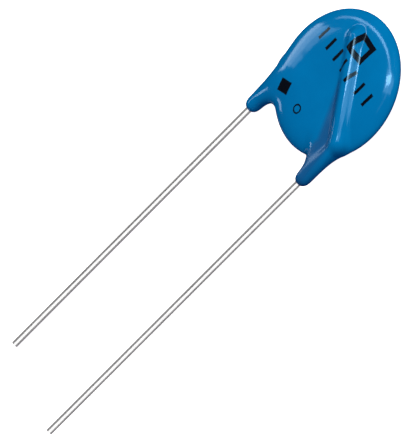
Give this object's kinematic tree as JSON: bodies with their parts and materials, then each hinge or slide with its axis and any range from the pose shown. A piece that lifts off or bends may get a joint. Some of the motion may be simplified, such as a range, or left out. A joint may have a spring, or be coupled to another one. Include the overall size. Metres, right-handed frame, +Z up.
{
  "type": "metal oxide varistor",
  "caption": "Blue epoxy-dipped disc varistor with slanted inner lead ridges, short coated necks and two long straight tinned leads.",
  "frame": {"origin": "centre of the bounding box's base: the part lies on its back face on a surface", "axes": "+Z up, out of the front face; the leads run along -Y and the disc is at the +Y end; +X is the front lead's side"},
  "size_m": [0.022, 0.0762, 0.0048],
  "materials": {
    "coating": "gloss",
    "ceramic": "matte",
    "electrode": "satin",
    "solder": "satin",
    "lead": "satin"
  },
  "bodies": {
    "root": {"epoxy_coating": "coating", "zno_disc": "ceramic", "front_electrode": "electrode", "back_electrode": "electrode", "front_solder": "solder", "back_solder": "solder", "front_lead": "lead", "back_lead": "lead"}
  },
  "joints": []
}
